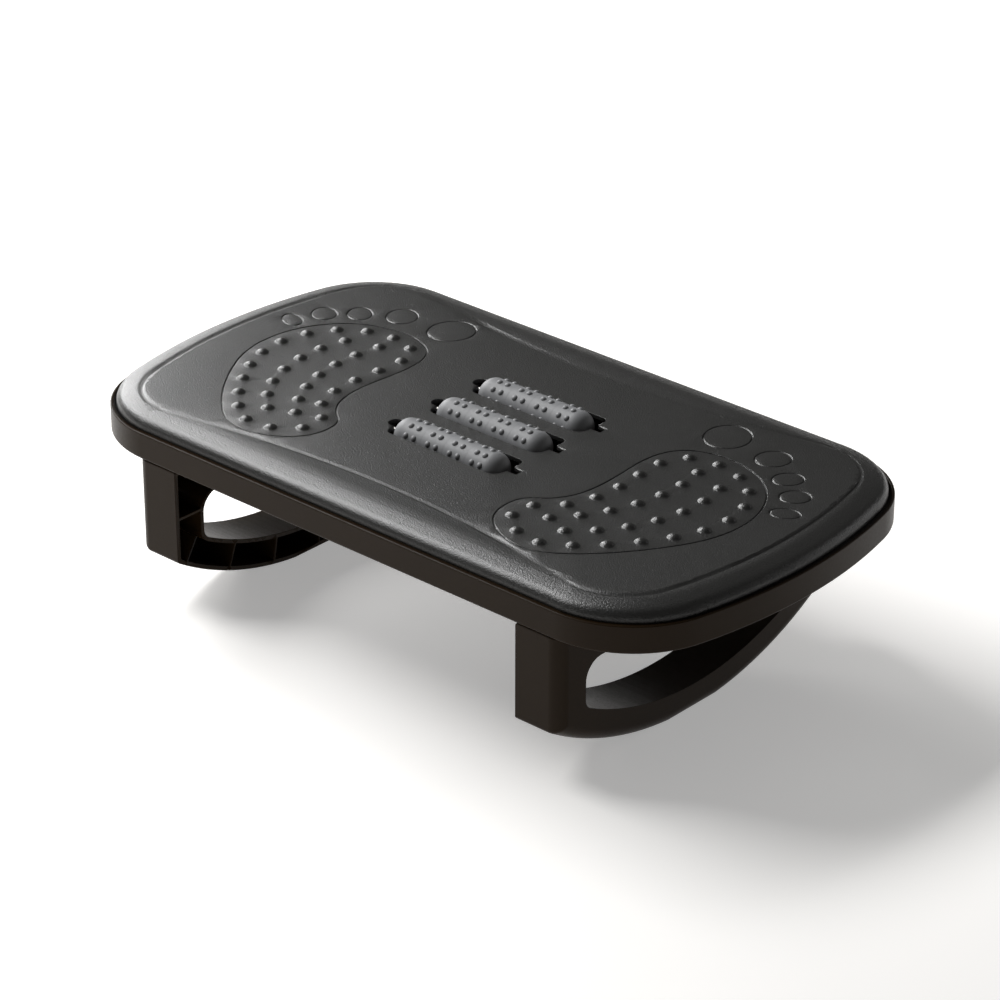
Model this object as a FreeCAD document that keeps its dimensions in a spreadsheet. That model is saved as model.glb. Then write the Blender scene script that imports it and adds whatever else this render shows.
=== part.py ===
"""Tilting under desk footrest.

A moulded deck of two shells, top plate and base tray, carries three massage rollers on steel
axles and stands on two D-shaped rocker legs.  Pushing with the toes or heels rolls the legs'
curved undersides along the floor, which tilts the deck.

Frame: the origin is on the floor below the middle of the deck, +X runs along the deck's length,
+Y points away from the person who sits in front of it, and +Z is up.  Sizes are millimetres.
"""
import FreeCAD, Part
import os

import Sketcher
from FreeCAD import Placement, Rotation, Vector

# Driving dimensions: name, value, what it measures
SIZES = [
    ("deck_length", 451.0, "base tray, end to end over its bulged ends"),
    ("deck_depth", 251.5, "base tray, front to back"),
    ("corner_radius", 62.0, "deck corners in plan"),
    ("end_radius", 335.0, "gentle bulge of the two deck ends in plan"),
    ("rim_height", 107.0, "top of the tray's rim above the floor"),
    ("tray_height", 16.5, "outside height of the tray's wall"),
    ("tray_wall", 3.0, "thickness of the tray's wall"),
    ("tray_floor", 2.5, "thickness of the tray's floor"),
    ("tray_edge_round", 1.6, "round along the tray's lower edge"),
    ("rim_round", 0.6, "round along the rim's outer edge"),
    ("plate_gap", 0.4, "shadow gap between rim and top plate"),
    ("plate_wall", 2.5, "thickness of the top plate"),
    ("plate_rise", 9.0, "panel above the rim"),
    ("plate_skirt", 6.0, "plate edge that hangs inside the tray"),
    ("border_fall_width", 14.0, "fall of the plate's border from the panel to its side, in plan"),
    ("border_fall_height", 3.4, "fall of the plate's border from the panel to its side"),
    ("border_crown", 50.0, "radius that leads from the panel into the border's fall"),
    ("border_roll", 7.0, "radius that rolls the border over to the plate's side"),
    ("panel_margin", 20.0, "panel groove in from the deck ends"),
    ("panel_corner", 41.0, "corner radius of the panel groove"),
    ("waist_half_depth", 92.0, "panel groove from the middle line, at the waist"),
    ("waist_radius", 670.0, "inward bow of the panel groove's long sides"),
    ("groove_slope", 2.8, "gentle outer side of the panel groove, in plan"),
    ("groove_wall", 0.8, "steep inner side of the panel groove, in plan"),
    ("groove_depth", 1.1, "depth of the panel groove"),
    ("foot_margin", 9.2, "foot outline out from its ring of studs"),
    ("engraving_width", 1.1, "width of the foot and toe outlines"),
    ("engraving_depth", 0.7, "depth of the foot and toe outlines"),
    ("stud_diameter", 8.2, "deck massage studs"),
    ("stud_height", 2.2, "deck massage studs"),
    ("roller_pitch", 35.2, "between neighbouring roller axes"),
    ("roller_middle_y", 3.4, "middle roller's axis behind the deck's middle"),
    ("slot_middle_x", -0.5, "middle of the roller slots along the deck"),
    ("roller_shift", -2.0, "rollers from the middle of their slots, at the left end of their play"),
    ("roller_proud", 5.7, "drums above the panel"),
    ("drum_radius", 10.5, "roller drum"),
    ("drum_wall", 2.0, "roller drum"),
    ("drum_length", 63.0, "roller drum without its end caps"),
    ("cap_length", 8.0, "rounded part of an end cap"),
    ("cap_spigot", 6.0, "end cap inside the drum"),
    ("cap_tip_radius", 3.4, "flat tip of an end cap"),
    ("bead_diameter", 3.6, "drum studs, at the drum's surface"),
    ("bead_height", 1.2, "drum studs"),
    ("bead_taper", 30.0, "slope of the drum studs' flanks, degrees"),
    ("bead_pair_gap", 6.0, "between the two studs of a pair"),
    ("bead_pitch", 16.6, "between pairs along a drum"),
    ("bead_field_x", 1.2, "middle of the stud rows from the drum's middle"),
    ("slot_clearance", 0.6, "slot edge to the drum's studs"),
    ("slot_end_gap", 2.5, "slot end to the end cap's tip, with the roller in the middle"),
    ("slot_corner", 4.0, "corner radius of the slots"),
    ("slot_near_round", 8.0, "near right corner of the slots"),
    ("notch_length", 7.0, "axle notch beyond the slot's end"),
    ("notch_left_width", 9.0, "round notch at the left end of a slot"),
    ("notch_right_width", 6.5, "square notch at the right end of a slot"),
    ("axle_diameter", 3.0, "steel axles"),
    ("axle_seat", 4.5, "length of each axle seat"),
    ("seat_width", 9.0, "axle seat across the axle"),
    ("clamp_gap", 0.3, "between an axle seat and the clamp above it"),
    ("running_clearance", 0.06, "end cap bore round the axle, radial"),
    ("fit_clearance", 0.05, "plugged and seated parts, radial"),
    ("leg_inner_x", 129.0, "inner side of the legs from the deck's middle"),
    ("leg_thickness", 31.0, "legs across"),
    ("leg_setback", 0.4, "front and back of the legs behind the tray's wall"),
    ("leg_wall", 2.5, "outer skin and side walls of the legs"),
    ("leg_band", 21.5, "width of the ring round the window"),
    ("leg_rear_band", 27.0, "width of the ring behind the window"),
    ("rocker_band", 19.0, "width of the ring below the window"),
    ("leg_edge_round", 8.0, "outer side of the legs, round its ends and its underside"),
    ("leg_foot_round", 2.5, "lower front and rear corners of the legs"),
    ("leg_top_bevel", 0.8, "bevel along the top of the legs"),
    ("rocker_radius", 206.0, "curved underside of the legs"),
    ("rocker_middle_y", -12.0, "lowest line of the rockers, from the deck's middle"),
    ("rest_flat", 40.0, "flat on the rockers' lowest line, on which the footrest stands level"),
    ("window_front_round", 12.0, "upper front corner of the window"),
    ("window_foot_round", 7.0, "lower front corner of the window"),
    ("window_rear_round", 4.5, "rear corners of the window"),
    ("rib_thickness", 1.6, "ribs in the legs and the tray"),
    ("rib_angle", 10.5, "between radial ribs of a leg, degrees"),
    ("front_rib_height", 60.0, "level rib in the front band of a leg, above the floor"),
    ("tray_rib_height", 7.0, "ribs on the tray's floor"),
    ("tray_rib_y", 72.0, "long tray ribs from the middle"),
    ("tray_rib_x", 112.0, "cross tray ribs from the middle"),
    ("screw_shank", 3.2, "self-tapping screws"),
    ("screw_head", 7.0, "pan heads"),
    ("screw_head_height", 2.4, "pan heads"),
    ("deck_screw_length", 13.0, "shank below the head"),
    ("leg_screw_length", 12.0, "shank below the head"),
    ("boss_diameter", 9.0, "plate posts and leg bosses"),
    ("tray_boss_diameter", 12.0, "tray bosses round the recessed screw heads"),
    ("tray_boss_height", 6.0, "tray bosses above the tray's floor"),
    ("recess_depth", 5.0, "screw recess in the tray's underside"),
    ("recess_diameter", 8.0, "screw recess in the tray's underside"),
    ("post_x", 80.0, "long side deck screws"),
    ("post_y", 106.0, "long side deck screws"),
    ("end_post_x", 194.0, "deck screws at the ends"),
    ("end_post_y", 60.0, "deck screws at the ends"),
    ("leg_boss_y", 98.0, "outer leg screws from the deck's middle"),
    ("leg_boss_depth", 16.0, "leg bosses below the leg's top"),
    ("tongue_length", 30.0, "locating tongues on the legs"),
    ("tongue_width", 5.0, "locating tongues on the legs"),
    ("tongue_height", 2.2, "locating tongues on the legs"),
    ("tongue_y", 49.0, "locating tongues from the deck's middle"),
    ("tongue_clearance", 0.3, "slot round a tongue"),
]

# Ring of studs of the right foot, as points that its smooth curve passes through (x, y)
FOOT_RING = [
    (80, -56), (99, -26), (99, 9), (103, 42), (139, 46),
    (165, 21), (168, -13), (153, -45), (129, -74), (95, -85),
]
RING_STUDS = 20
# Two inner rows of studs of the right foot: first, middle and last stud, and how many
STUD_ROWS = [((96, -61), (121, -15), (121, 34)), ((112, -67), (142, -22), (142, 27))]
ROW_STUDS = 7
# Toe outlines of the right foot: x, y, length, width and turn of the long axis from +X
TOES = [
    (105, 79, 30, 27, 105), (141, 74.5, 21, 19, 60), (162.5, 60.5, 18, 15, 50),
    (178.5, 46.5, 17.5, 15, 40), (186.5, 27.5, 17, 11.5, 25),
]
# Places of the rollers, in steps of their pitch
FRONT, MIDDLE, REAR = -1, 0, 1
STUD_ROOT = 0.5
GROOVE_OVERCUT = 0.2
OUTSET_POINTS = 24
BEAD_ROWS = 10
BEAD_PAIRS = 4
LEG_RIBS = 3
BEAD_SIDES = 6

document = FreeCAD.newDocument("footrest")
sheet = document.addObject("Spreadsheet::Sheet", "Sizes")
for row, (alias, value, note) in enumerate(SIZES, 1):
    sheet.set(f"A{row}", alias)
    sheet.set(f"B{row}", str(value))
    sheet.set(f"C{row}", note)
    sheet.setAlias(f"B{row}", alias)
document.recompute()


def value_of(expression):
    """A number from a formula in the sheet's names."""
    return float(sheet.evalExpression(str(expression)))


# Formulas that several parts share
TRAY_BASE = "(Sizes.rim_height - Sizes.tray_height)"
TRAY_FLOOR_TOP = f"({TRAY_BASE} + Sizes.tray_floor)"
PANEL = "(Sizes.rim_height + Sizes.plate_rise)"
PANEL_UNDERSIDE = f"({PANEL} - Sizes.plate_wall)"
PLATE_INSET = "(Sizes.tray_wall + Sizes.plate_gap)"
AXLE_HEIGHT = f"({PANEL} + Sizes.roller_proud - Sizes.drum_radius)"
ROLLER_HALF_LENGTH = "(Sizes.drum_length / 2 + Sizes.cap_length)"
SLOT_HALF_LENGTH = f"({ROLLER_HALF_LENGTH} + Sizes.slot_end_gap)"
SLOT_HALF_WIDTH = "(Sizes.drum_radius + Sizes.bead_height + Sizes.slot_clearance)"
AXLE_HALF_LENGTH = f"({SLOT_HALF_LENGTH} + Sizes.notch_length + Sizes.axle_seat)"
ROLLER_MIDDLE_X = "(Sizes.slot_middle_x + Sizes.roller_shift)"
LEG_HALF_DEPTH = "(Sizes.deck_depth / 2 - Sizes.leg_setback)"
ROCKER_CENTRE = "sqrt(Sizes.rocker_radius ^ 2 - Sizes.rest_flat ^ 2 / 4)"
LEG_MIDDLE_X = "(Sizes.leg_inner_x + Sizes.leg_thickness / 2)"
DRUM_BORE = "(Sizes.drum_radius - Sizes.drum_wall)"


# Sketch and body helpers
def origin_plane(body, role):
    return next(item for item in body.Origin.OriginFeatures if item.Role == role)


def new_body(label):
    body = document.addObject("PartDesign::Body", label)
    body.Label = label
    return body


def new_sketch(body, name, role, height="0"):
    sketch = body.newObject("Sketcher::SketchObject", name)
    sketch.AttachmentSupport = (origin_plane(body, role), [""])
    sketch.MapMode = "FlatFace"
    sketch.setExpression("AttachmentOffset.Base.z", height)
    return sketch


def bind(sketch, kind, *place, formula):
    index = sketch.addConstraint(Sketcher.Constraint(kind, *place, value_of(formula)))
    sketch.setExpression(f"Constraints[{index}]", formula)


def arc_through(start, end, radius):
    """An arc that turns left on its way from start to end."""
    chord = end - start
    reach = (radius ** 2 - chord.Length ** 2 / 4) ** 0.5
    left = Vector(-chord.y, chord.x, 0).normalize()
    middle = (start + end) / 2 + left * (reach - radius)
    return Part.Arc(start, middle, end)


def draw_loop(sketch, points):
    """A closed loop of (x, y, radius) formulas; radius belongs to the edge that leaves the point."""
    corners = [Vector(value_of(x), value_of(y), 0) for x, y, _ in points]
    first = sketch.GeometryCount
    for index, (_, _, radius) in enumerate(points):
        start = corners[index]
        end = corners[(index + 1) % len(corners)]
        if radius is None:
            sketch.addGeometry(Part.LineSegment(start, end), False)
        else:
            sketch.addGeometry(arc_through(start, end, value_of(radius)), False)
    for index, (x, y, radius) in enumerate(points):
        here = first + index
        previous = first + (index - 1) % len(points)
        sketch.addConstraint(Sketcher.Constraint("Coincident", previous, 2, here, 1))
        bind(sketch, "DistanceX", -1, 1, here, 1, formula=x)
        bind(sketch, "DistanceY", -1, 1, here, 1, formula=y)
        if radius is not None:
            bind(sketch, "Radius", here, formula=radius)


def draw_circle(sketch, x, y, radius):
    centre = Vector(value_of(x), value_of(y), 0)
    index = sketch.addGeometry(Part.Circle(centre, Vector(0, 0, 1), value_of(radius)), False)
    bind(sketch, "Radius", index, formula=radius)
    bind(sketch, "DistanceX", -1, 1, index, 3, formula=x)
    bind(sketch, "DistanceY", -1, 1, index, 3, formula=y)


def rectangle(x_low, x_high, y_low, y_high):
    return [(x_low, y_low, None), (x_high, y_low, None), (x_high, y_high, None), (x_low, y_high, None)]


def pad(body, sketch, length, name, down=False, middle=False):
    feature = body.newObject("PartDesign::Pad", name)
    feature.Profile = sketch
    feature.setExpression("Length", length)
    feature.Reversed = down
    feature.Midplane = middle
    document.recompute()
    return feature


def pocket(body, sketch, length, name, up=False, middle=False):
    """A pocket cuts against its sketch's normal, or along it with up."""
    before = body.Shape.Volume
    feature = body.newObject("PartDesign::Pocket", name)
    feature.Profile = sketch
    feature.setExpression("Length", length)
    feature.Reversed = up
    feature.Midplane = middle
    document.recompute()
    if not body.Shape.Volume < before:
        raise RuntimeError(f"{name} cuts nothing from {body.Label}")
    return feature


def round_edges(body, radius, name, wanted, kind="Fillet"):
    """A fillet or chamfer on the edges that the test picks."""
    base = body.Tip
    names = [f"Edge{n}" for n, edge in enumerate(base.Shape.Edges, 1) if wanted(edge)]
    feature = body.newObject(f"PartDesign::{kind}", name)
    feature.Base = (base, names)
    feature.setExpression("Radius" if kind == "Fillet" else "Size", radius)
    document.recompute()
    return feature


def fall_away(body, top, width, height, crown, roll):
    """Lets a block's top edge fall away gently and roll over to its side."""
    name = body.Label
    fall = round_edges(body, height, f"{name}_fall", lies_at_height(top), "Chamfer")
    fall.ChamferType = "Two distances"
    fall.setExpression("Size2", width)
    document.recompute()
    round_edges(body, crown, f"{name}_crown", lies_at_height(top))
    round_edges(body, roll, f"{name}_roll", lies_at_height(f"{top} - {height}"))


def lies_at_height(height):
    level = value_of(height)
    return lambda edge: abs(edge.BoundBox.ZMin - level) < 1e-4 and abs(edge.BoundBox.ZMax - level) < 1e-4


# Plan outlines
def deck_outline(inset):
    """The deck's plan: straight long sides, round corners and gently bulged ends, moved in."""
    end_middle = "(Sizes.deck_length / 2 - Sizes.end_radius)"
    corner_y = "(Sizes.deck_depth / 2 - Sizes.corner_radius)"
    reach = "(Sizes.end_radius - Sizes.corner_radius)"
    corner_x = f"({end_middle} + sqrt({reach} ^ 2 - {corner_y} ^ 2))"
    corner = f"(Sizes.corner_radius - {inset})"
    end = f"(Sizes.end_radius - {inset})"
    side = f"(Sizes.deck_depth / 2 - {inset})"
    join_x = f"({end_middle} + {end} * ({corner_x} - {end_middle}) / {reach})"
    join_y = f"({end} * {corner_y} / {reach})"
    return [
        (f"-{corner_x}", f"-{side}", None),
        (corner_x, f"-{side}", corner),
        (join_x, f"-{join_y}", end),
        (join_x, join_y, corner),
        (corner_x, side, None),
        (f"-{corner_x}", side, corner),
        (f"-{join_x}", join_y, end),
        (f"-{join_x}", f"-{join_y}", corner),
    ]


def waisted_outline(outset):
    """The panel groove's plan: parallel to the deck's ends, bowed inwards along its sides."""
    end_radius = value_of("Sizes.end_radius - Sizes.panel_margin")
    end_middle = Vector(value_of("Sizes.deck_length / 2 - Sizes.end_radius"), 0, 0)
    waist_radius = value_of("Sizes.waist_radius")
    waist_middle = Vector(0, value_of("Sizes.waist_half_depth + Sizes.waist_radius"), 0)
    corner = value_of("Sizes.panel_corner")
    # The corner's centre lies at a known distance from the centres of both neighbouring arcs
    apart = waist_middle - end_middle
    to_end = end_radius - corner
    to_waist = waist_radius + corner
    along = (to_end ** 2 - to_waist ** 2 + apart.Length ** 2) / (2 * apart.Length)
    across = (to_end ** 2 - along ** 2) ** 0.5
    unit = apart / apart.Length
    corner_middle = end_middle + unit * along + Vector(unit.y, -unit.x, 0) * across
    from_end = (corner_middle - end_middle).normalize()
    from_waist = (corner_middle - waist_middle).normalize()
    end_join = end_middle + from_end * (end_radius + outset)
    waist_join = waist_middle + from_waist * (waist_radius - outset)
    corner_point = corner_middle + (from_end - from_waist).normalize() * (corner + outset)
    end_bulge = end_middle + Vector(end_radius + outset, 0, 0)
    waist_bow = waist_middle - Vector(0, waist_radius - outset, 0)

    def turned(point, side_x, side_y):
        return Vector(point.x * side_x, point.y * side_y, 0)
    arcs = []
    for side in (1, -1):
        for other in (1, -1):
            corner_points = (waist_join, corner_point, end_join)
            arcs.append(Part.Arc(*[turned(point, side, other) for point in corner_points]))
        arcs.append(Part.Arc(turned(end_join, side, 1), end_bulge * side, turned(end_join, side, -1)))
        arcs.append(Part.Arc(turned(waist_join, -1, side), waist_bow * side, turned(waist_join, 1, side)))
    return Part.Wire(Part.__sortEdges__([arc.toShape() for arc in arcs]))


def slot_outline(roller):
    """One roller's slot, with its axle notches."""
    middle_x = "Sizes.slot_middle_x"
    middle_y = roller_y(roller)
    right = f"({middle_x} + {SLOT_HALF_LENGTH})"
    left = f"({middle_x} - {SLOT_HALF_LENGTH})"
    near = f"({middle_y} - {SLOT_HALF_WIDTH})"
    far = f"({middle_y} + {SLOT_HALF_WIDTH})"
    round_ = "Sizes.slot_corner"
    near_round = "Sizes.slot_near_round"
    right_notch = f"({right} + Sizes.notch_length)"
    right_half = "Sizes.notch_right_width / 2"
    left_half = "Sizes.notch_left_width / 2"
    left_round = f"({left} - Sizes.notch_length + {left_half})"
    return [
        (f"{left} + {round_}", near, None),
        (f"{right} - {near_round}", near, near_round),
        (right, f"{near} + {near_round}", None),
        (right, f"{middle_y} - {right_half}", None),
        (right_notch, f"{middle_y} - {right_half}", None),
        (right_notch, f"{middle_y} + {right_half}", None),
        (right, f"{middle_y} + {right_half}", None),
        (right, f"{far} - {round_}", round_),
        (f"{right} - {round_}", far, None),
        (f"{left} + {round_}", far, round_),
        (left, f"{far} - {round_}", None),
        (left, f"{middle_y} + {left_half}", None),
        (left_round, f"{middle_y} + {left_half}", left_half),
        (f"{left} - Sizes.notch_length", middle_y, left_half),
        (left_round, f"{middle_y} - {left_half}", None),
        (left, f"{middle_y} - {left_half}", None),
        (left, f"{near} + {round_}", round_),
    ]


def roller_y(roller):
    return f"(Sizes.roller_middle_y + {roller} * Sizes.roller_pitch)"


def deck_screw_places():
    quarters = [(-1, -1), (-1, 1), (1, -1), (1, 1)]
    corners = [(f"{x} * Sizes.end_post_x", f"{y} * Sizes.end_post_y") for x, y in quarters]
    sides = [(f"{x} * Sizes.post_x", f"{y} * Sizes.post_y") for x, y in quarters]
    return corners + sides


def leg_screw_places(side):
    return [(f"{side} * {LEG_MIDDLE_X}", f"{step} * Sizes.leg_boss_y") for step in (-1, 0, 1)]


def tongue_outlines(side, clearance):
    half_width = f"(Sizes.tongue_width / 2 + {clearance})"
    half_length = f"(Sizes.tongue_length / 2 + {clearance})"
    middle_x = f"{side} * {LEG_MIDDLE_X}"
    for step in (-1, 1):
        middle_y = f"{step} * Sizes.tongue_y"
        yield rectangle(f"{middle_x} - {half_width}", f"{middle_x} + {half_width}",
                        f"{middle_y} - {half_length}", f"{middle_y} + {half_length}")


def axle_blocks(body, name, level, height, down=False):
    """Blocks that hold both ends of the three axles."""
    blocks = new_sketch(body, name, "XY_Plane", level)
    half_width = "Sizes.seat_width / 2"
    for roller in (FRONT, MIDDLE, REAR):
        middle_y = roller_y(roller)
        for side in (-1, 1):
            outer = f"Sizes.slot_middle_x + {side} * {AXLE_HALF_LENGTH}"
            inner = f"Sizes.slot_middle_x + {side} * ({AXLE_HALF_LENGTH} - Sizes.axle_seat)"
            low, high = (inner, outer) if side > 0 else (outer, inner)
            draw_loop(blocks, rectangle(low, high, f"{middle_y} - {half_width}",
                                        f"{middle_y} + {half_width}"))
    pad(body, blocks, height, f"{name}_pads", down=down)


def axle_channels(body, name):
    """Round channels along the three axles, cut over the axles' whole length."""
    sketch = new_sketch(body, name, "YZ_Plane", "Sizes.slot_middle_x")
    radius = "Sizes.axle_diameter / 2 + Sizes.fit_clearance"
    for roller in (FRONT, MIDDLE, REAR):
        draw_circle(sketch, roller_y(roller), AXLE_HEIGHT, radius)
    pocket(body, sketch, f"2 * ({AXLE_HALF_LENGTH} + Sizes.fit_clearance)", f"{name}_cut", middle=True)


# Top plate
def foot_ring(outset=0):
    """The right foot's smooth closed curve, moved outwards."""
    curve = Part.BSplineCurve()
    curve.interpolate([Vector(x, y, 0) for x, y in FOOT_RING], PeriodicFlag=True)
    if outset:
        moved = []
        span = curve.LastParameter - curve.FirstParameter
        for step in range(OUTSET_POINTS):
            at = curve.FirstParameter + step / OUTSET_POINTS * span
            along = curve.tangent(at)[0]
            moved.append(curve.value(at) + Vector(-along.y, along.x, 0) * outset)
        curve = Part.BSplineCurve()
        curve.interpolate(moved, PeriodicFlag=True)
    return Part.Wire(curve.toShape())


def stud_places():
    places = foot_ring().discretize(RING_STUDS + 1)[:-1]
    for first, middle, last in STUD_ROWS:
        row = Part.Arc(*[Vector(x, y, 0) for x, y in (first, middle, last)]).toShape()
        places += row.discretize(ROW_STUDS)
    return places


def dome(place, diameter, height, level):
    """A spherical cap that stands on a level face, with a short root below it."""
    radius = (diameter ** 2 / 4 + height ** 2) / (2 * height)
    ball = Part.makeSphere(radius, place + Vector(0, 0, level + height - radius))
    root = Part.makeCylinder(diameter / 2, height + STUD_ROOT, place + Vector(0, 0, level - STUD_ROOT))
    return ball.common(root)


def channel_between(outer, inner, depth):
    """A shallow channel between two closed lines of the panel, as the solid that it removes."""
    ring = Part.Face(outer).cut(Part.Face(inner))
    channel = ring.extrude(Vector(0, 0, 2 * depth))
    channel.translate(Vector(0, 0, value_of(PANEL) - depth))
    return channel


def panel_groove():
    """The groove round the panel as a solid: a gentle slope outside and a steep wall inside."""
    slope = value_of("Sizes.groove_slope")
    wall = value_of("Sizes.groove_wall")
    depth = value_of("Sizes.groove_depth")
    level = value_of(PANEL)
    valley = wall - (slope + wall) / 2
    # Both sides run on above the panel, so that the solid ends clear of it
    above = 1 + GROOVE_OVERCUT / depth
    outer = waisted_outline(valley + slope * above)
    bottom = waisted_outline(valley)
    inner = waisted_outline(valley - wall * above)
    bottom.translate(Vector(0, 0, level - depth))
    for edge_line in (outer, inner):
        edge_line.translate(Vector(0, 0, level + GROOVE_OVERCUT))
    top = Part.Face(outer).cut(Part.Face(inner))
    sides = [Part.makeLoft([outer, bottom], False, True), Part.makeLoft([bottom, inner], False, True)]
    return Part.makeSolid(Part.makeShell(top.Faces + sides[0].Faces + sides[1].Faces))


def toe_outline(x, y, length, width, turn, outset):
    ellipse = Part.Ellipse(Vector(0, 0, 0), length / 2 + outset, width / 2 + outset).toShape()
    ellipse.Placement = Placement(Vector(x, y, 0), Rotation(Vector(0, 0, 1), turn))
    return Part.Wire(ellipse)


def both_feet(shape):
    return [shape, shape.mirror(Vector(0, 0, 0), Vector(1, 0, 0))]


def plate_form(label, inset, width, height):
    """A block with the plate's outline and falling border, its faces moved in."""
    body = new_body(label)
    outline = new_sketch(body, f"{label}_plan", "XY_Plane", "Sizes.rim_height - Sizes.plate_skirt")
    draw_loop(outline, deck_outline(f"({PLATE_INSET} + {inset})"))
    pad(body, outline, f"Sizes.plate_skirt + Sizes.plate_rise - {inset}", f"{label}_block")
    fall_away(body, f"({PANEL} - {inset})", width, height, f"Sizes.border_crown - {inset}",
              f"Sizes.border_roll - {inset}")
    return body


def make_top_plate():
    width, height, wall = "Sizes.border_fall_width", "Sizes.border_fall_height", "Sizes.plate_wall"
    body = plate_form("plate_shell", "0", width, height)
    # The hollow's border runs parallel to the outer one, a wall's thickness below it
    slant = f"sqrt({width} ^ 2 + {height} ^ 2)"
    inner_height = f"({height} - {wall} * ({width} + {height} - {slant}) / {width})"
    core = plate_form("plate_core", wall, f"{inner_height} * {width} / {height}", inner_height)
    hollow = body.newObject("PartDesign::Boolean", "plate_hollow")
    hollow.setObjects([core])
    hollow.Type = "Cut"
    document.recompute()

    posts = new_sketch(body, "screw_posts", "XY_Plane", PANEL_UNDERSIDE)
    pilots = new_sketch(body, "post_pilots", "XY_Plane", f"{TRAY_FLOOR_TOP} + Sizes.tray_boss_height")
    for x, y in deck_screw_places():
        draw_circle(posts, x, y, "Sizes.boss_diameter / 2")
        draw_circle(pilots, x, y, "Sizes.screw_shank / 2 + Sizes.fit_clearance")
    post_length = f"{PANEL_UNDERSIDE} - {TRAY_FLOOR_TOP} - Sizes.tray_boss_height"
    pad(body, posts, post_length, "screw_post_pads", down=True)
    pocket(body, pilots, "Sizes.deck_screw_length", "pilot_holes", up=True)

    slots = new_sketch(body, "roller_slots", "XY_Plane", PANEL)
    for roller in (FRONT, MIDDLE, REAR):
        draw_loop(slots, slot_outline(roller))
    pocket(body, slots, "2 * Sizes.plate_wall", "roller_slot_cut")
    clamp_height = f"{PANEL_UNDERSIDE} - {AXLE_HEIGHT} - Sizes.clamp_gap"
    axle_blocks(body, "axle_clamps", PANEL_UNDERSIDE, clamp_height, down=True)
    axle_channels(body, "plate_channels")

    level = value_of(PANEL)
    studs = document.addObject("Part::Feature", "deck_studs")
    diameter = value_of("Sizes.stud_diameter")
    height = value_of("Sizes.stud_height")
    domes = [foot for place in stud_places() for foot in both_feet(dome(place, diameter, height, level))]
    studs.Shape = Part.makeCompound(domes)

    lines = document.addObject("Part::Feature", "engraved_lines")
    half = value_of("Sizes.engraving_width / 2")
    depth = value_of("Sizes.engraving_depth")
    margin = value_of("Sizes.foot_margin")
    channels = [channel_between(foot_ring(margin + half), foot_ring(margin - half), depth)]
    for toe in TOES:
        channels.append(channel_between(toe_outline(*toe, half), toe_outline(*toe, -half), depth))
    engraved_feet = [line for channel in channels for line in both_feet(channel)]
    lines.Shape = Part.makeCompound(engraved_feet + [panel_groove()])

    engraved = document.addObject("Part::Cut", "engraved_plate")
    engraved.Base = body
    engraved.Tool = lines
    plate = document.addObject("Part::Fuse", "top_plate")
    plate.Base = engraved
    plate.Tool = studs
    plate.Label = "top_plate"
    return plate


# Base tray
def make_base_tray():
    body = new_body("base_tray")
    outline = new_sketch(body, "tray_plan", "XY_Plane", TRAY_BASE)
    draw_loop(outline, deck_outline("0"))
    pad(body, outline, "Sizes.tray_height", "tray_block")
    round_edges(body, "Sizes.tray_edge_round", "lower_edge", lies_at_height(TRAY_BASE))
    round_edges(body, "Sizes.rim_round", "rim_edge", lies_at_height("Sizes.rim_height"))
    inside = new_sketch(body, "tray_inside", "XY_Plane", "Sizes.rim_height")
    draw_loop(inside, deck_outline("Sizes.tray_wall"))
    pocket(body, inside, "Sizes.tray_height - Sizes.tray_floor", "tray_hollow")

    bosses = new_sketch(body, "tray_bosses", "XY_Plane", TRAY_FLOOR_TOP)
    recesses = new_sketch(body, "screw_recesses", "XY_Plane", TRAY_BASE)
    holes = new_sketch(body, "screw_holes", "XY_Plane", TRAY_BASE)
    for x, y in deck_screw_places():
        draw_circle(bosses, x, y, "Sizes.tray_boss_diameter / 2")
        draw_circle(recesses, x, y, "Sizes.recess_diameter / 2")
        draw_circle(holes, x, y, "Sizes.screw_shank / 2 + Sizes.fit_clearance")
    for side in (-1, 1):
        for x, y in leg_screw_places(side):
            draw_circle(holes, x, y, "Sizes.screw_shank / 2 + Sizes.fit_clearance")
        for loop in tongue_outlines(side, "Sizes.tongue_clearance"):
            draw_loop(holes, loop)
    pad(body, bosses, "Sizes.tray_boss_height", "tray_boss_pads")

    ribs = new_sketch(body, "tray_ribs", "XY_Plane", TRAY_FLOOR_TOP)
    half = "Sizes.rib_thickness / 2"
    along = "(Sizes.deck_length / 2 - Sizes.panel_margin)"
    for side in (-1, 1):
        line = f"{side} * Sizes.tray_rib_y"
        draw_loop(ribs, rectangle(f"-{along}", along, f"{line} - {half}", f"{line} + {half}"))
    pad(body, ribs, "Sizes.tray_rib_height", "long_ribs")
    cross = new_sketch(body, "tray_cross_ribs", "XY_Plane", TRAY_FLOOR_TOP)
    reach = "(Sizes.deck_depth / 2 - Sizes.tray_wall / 2)"
    for side in (-1, 1):
        line = f"{side} * Sizes.tray_rib_x"
        draw_loop(cross, rectangle(f"{line} - {half}", f"{line} + {half}", f"-{reach}", reach))
    pad(body, cross, "Sizes.tray_rib_height", "cross_ribs")

    axle_blocks(body, "axle_seats", TRAY_FLOOR_TOP, f"{AXLE_HEIGHT} - {TRAY_FLOOR_TOP}")
    axle_channels(body, "seat_channels")

    pocket(body, recesses, "Sizes.recess_depth", "screw_recess_cut", up=True)
    pocket(body, holes, "Sizes.tray_floor + Sizes.tray_boss_height", "screw_hole_cut", up=True)
    return body


# Rocker legs
def rocker_height(radius, y):
    """Height of a curve round the rocker's centre, at one depth of the leg."""
    return f"({ROCKER_CENTRE} - sqrt({radius} ^ 2 - ({y} - Sizes.rocker_middle_y) ^ 2))"


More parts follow.
